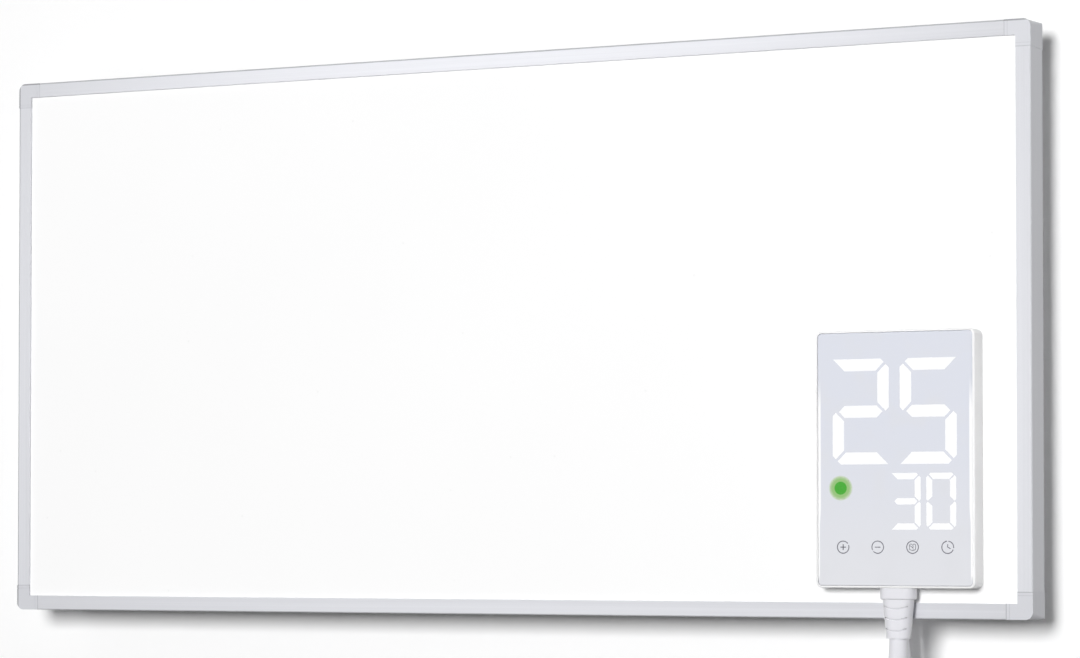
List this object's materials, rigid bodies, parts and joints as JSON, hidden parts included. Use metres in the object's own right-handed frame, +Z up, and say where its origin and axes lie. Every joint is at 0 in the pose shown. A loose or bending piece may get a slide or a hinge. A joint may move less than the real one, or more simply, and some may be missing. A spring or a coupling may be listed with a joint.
{
  "type": "infrared panel heater",
  "caption": "Wall-hung flat infrared panel heater in a slim frame, with a magnetic touch controller on its face, joined by a lead, and two wall rails.",
  "frame": {"origin": "centre of the four wall fixing holes, on the wall plane, which is also the middle of the panel's height and width", "axes": "+X to the right seen from the room, -Y out of the wall towards the room, +Z up"},
  "size_m": [0.6, 0.0566, 0.4931],
  "materials": {
    "galvanised_steel": "galvanised, matt",
    "anodised_aluminium": "satin silver anodised",
    "corner_plastic": "fine grained light grey",
    "white_plate": "white powder coat, satin",
    "back_sheet": "pale grey coat, satin",
    "insulating_film": "clear amber film",
    "carbon_film": "matt carbon print",
    "copper_strip": "rolled copper",
    "foil": "bright foil",
    "mineral_board": "dry pressed mineral fibre",
    "cutout_case": "black moulded",
    "wire_insulation": "silicone sleeve",
    "core_insulation": "soft insulation",
    "plated_fixings": "zinc plated",
    "box_plastic": "fine grained white",
    "block_plastic": "plain moulded",
    "grommet_rubber": "soft white moulded",
    "controller_plastic": "polished white",
    "touch_glass": "polished, pale blue-grey behind",
    "lit_segments": "even white light",
    "pilot_green": "green light",
    "guide_plastic": "white reflector",
    "foam": "conductive foam",
    "circuit_board": "green solder mask",
    "component_body": "black moulded",
    "bare_aluminium": "bare sheet",
    "magnet": "nickel plated",
    "cord_sheath": "white flexible sheath"
  },
  "bodies": {
    "wall_mount": {"wall_rail_left": "galvanised_steel", "wall_rail_right": "galvanised_steel"},
    "panel": {"back_plate": "back_sheet", "busbar_lower": "copper_strip", "busbar_upper": "copper_strip", "corner_bottom_left": "corner_plastic", "corner_bottom_right": "corner_plastic", "corner_top_left": "corner_plastic", "corner_top_right": "corner_plastic", "earth_terminal": "plated_fixings", "frame_bottom": "anodised_aluminium", "frame_left": "anodised_aluminium", "frame_right": "anodised_aluminium", "frame_top": "anodised_aluminium", "front_insulating_film": "insulating_film", "front_plate": "white_plate", "hanger_rail_lower": "galvanised_steel", "hanger_rail_upper": "galvanised_steel", "hanger_rivets": "plated_fixings", "heating_film": "carbon_film", "insulation_board": "mineral_board", "internal_wires": "wire_insulation", "mains_clamp_screws": "plated_fixings", "mains_cord_clamp": "block_plastic", "mains_grommet": "grommet_rubber", "rear_insulating_film": "insulating_film", "rear_strain_relief": "grommet_rubber", "reflector_foil": "foil", "terminal_block": "block_plastic", "terminal_block_screws": "plated_fixings", "terminal_box": "box_plastic", "terminal_box_fixing_screws": "plated_fixings", "terminal_box_lid": "box_plastic", "terminal_box_lid_screws": "plated_fixings", "thermal_cutout_lower": "cutout_case", "thermal_cutout_upper": "cutout_case"},
    "controller": {"controller_housing": "controller_plastic", "controller_glass": "touch_glass", "large_digit_segments": "lit_segments", "small_digit_segments": "lit_segments", "indicator_lens": "pilot_green", "segment_light_guide": "guide_plastic", "touch_pads": "foam", "controller_board": "circuit_board", "supply_module": "component_body", "heat_spreader": "bare_aluminium", "power_triac": "component_body", "lead_terminal": "block_plastic", "lead_cores": "core_insulation", "temperature_sensor": "component_body", "controller_back_cover": "controller_plastic", "controller_magnets": "magnet", "controller_cover_screws": "plated_fixings", "controller_strain_relief": "grommet_rubber", "controller_lead": "cord_sheath"}
  },
  "joints": [
    {"name": "panel_lift", "type": "slide", "parent": "wall_mount", "child": "panel", "axis": [0, 0, 1], "range_m": [0, 0.013]},
    {"name": "controller_pull", "type": "slide", "parent": "panel", "child": "controller", "axis": [0, -1, 0], "range_m": [0, 0.05], "deforming": ["controller_lead"]}
  ]
}
